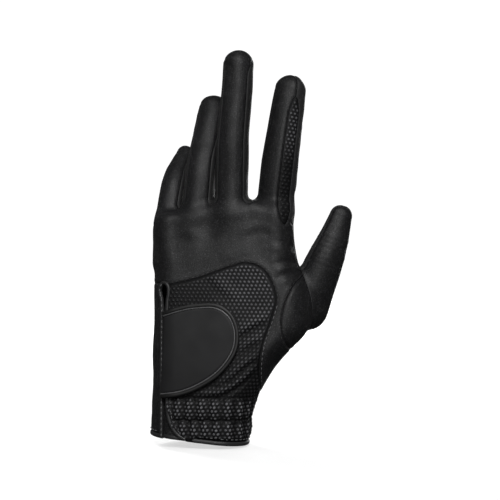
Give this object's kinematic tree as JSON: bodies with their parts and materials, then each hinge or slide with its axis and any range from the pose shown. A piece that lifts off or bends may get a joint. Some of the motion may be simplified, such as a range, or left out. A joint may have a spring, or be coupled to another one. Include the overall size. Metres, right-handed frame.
{
  "type": "golf glove",
  "caption": "Left-hand golf glove in its worn shape: leather shell with mesh insert, gathered cuff, closure tab over a slit, and bending finger sleeves.",
  "frame": {"origin": "middle of the wrist opening", "axes": "+Z from the wrist to the fingertips, -Y out of the back of the hand, +Y out of the palm, +X towards the thumb"},
  "size_m": [0.1165, 0.0645, 0.2214],
  "materials": {
    "back_leather": "fine grain, soft, slight sheen",
    "palm_leather": "smooth thin cabretta, satin",
    "fourchette_leather": "fine grain, matt",
    "mesh": "knitted mesh with small round holes in hexagons",
    "elastic": "woven elastic tape",
    "loop_tape": "looped pile",
    "hook_tape": "moulded hooks",
    "tab": "smooth matt coated face",
    "tab_edging": "folded edge with a glossy piping",
    "binding": "folded binding, satin"
  },
  "bodies": {
    "hand": {"back_panel": "back_leather", "cuff_elastic_lower": "elastic", "cuff_elastic_upper": "elastic", "cuff_mesh": "mesh", "fourchette_index_middle": "fourchette_leather", "fourchette_middle_ring": "fourchette_leather", "fourchette_ring_little": "fourchette_leather", "hem_binding": "binding", "index_back_lower": "back_leather", "index_front_lower": "palm_leather", "index_mesh_strip_lower": "mesh", "little_back_lower": "back_leather", "little_front_lower": "palm_leather", "little_outer_strip_lower": "back_leather", "loop_patch": "loop_tape", "mesh_insert": "mesh", "middle_back_lower": "back_leather", "middle_front_lower": "palm_leather", "palm_elastic": "elastic", "palm_panel": "palm_leather", "ring_back_lower": "back_leather", "ring_front_lower": "palm_leather", "side_panel": "back_leather", "slit_binding": "binding", "tab_root": "tab", "thumb_back_lower": "back_leather", "thumb_front_lower": "palm_leather", "thumb_gusset": "palm_leather"},
    "index": {"index_back_upper": "back_leather", "index_fourchette_little_side_upper": "fourchette_leather", "index_front_upper": "palm_leather", "index_mesh_strip_upper": "mesh"},
    "middle": {"middle_back_upper": "back_leather", "middle_fourchette_little_side_upper": "fourchette_leather", "middle_fourchette_thumb_side_upper": "fourchette_leather", "middle_front_upper": "palm_leather"},
    "ring": {"ring_back_upper": "back_leather", "ring_fourchette_little_side_upper": "fourchette_leather", "ring_fourchette_thumb_side_upper": "fourchette_leather", "ring_front_upper": "palm_leather"},
    "little": {"little_back_upper": "back_leather", "little_fourchette_thumb_side_upper": "fourchette_leather", "little_front_upper": "palm_leather", "little_outer_strip_upper": "back_leather"},
    "thumb": {"thumb_back_upper": "back_leather", "thumb_front_upper": "palm_leather"},
    "tab": {"tab_skin": "tab", "tab_edging": "tab_edging", "hook_patch": "hook_tape"}
  },
  "joints": [
    {"name": "index_knuckle", "type": "hinge", "parent": "hand", "child": "index", "pos_m": [0.0446, 0.001, 0.158], "axis": [-0.9002, 0.4198, 0.1156], "range_deg": [-4, 76]},
    {"name": "middle_knuckle", "type": "hinge", "parent": "hand", "child": "middle", "pos_m": [0.018, -0.0005, 0.161], "axis": [-0.99, 0.1391, 0.0229], "range_deg": [-3, 77]},
    {"name": "ring_knuckle", "type": "hinge", "parent": "hand", "child": "ring", "pos_m": [-0.0016, 0.0075, 0.155], "axis": [-0.9824, 0.1732, 0.0702], "range_deg": [-20, 60]},
    {"name": "little_knuckle", "type": "hinge", "parent": "hand", "child": "little", "pos_m": [-0.0168, 0.0195, 0.146], "axis": [-0.9765, 0.2076, 0.0572], "range_deg": [-22, 58]},
    {"name": "thumb_knuckle", "type": "hinge", "parent": "hand", "child": "thumb", "pos_m": [0.0726, 0.0045, 0.1055], "axis": [-0.77, -0.5391, 0.3413], "range_deg": [-4, 56]},
    {"name": "tab_hinge", "type": "hinge", "parent": "hand", "child": "tab", "pos_m": [-0.0209, -0.01298, 0.053], "axis": [0, -0.1078, -0.9942], "range_deg": [0, 140]}
  ]
}
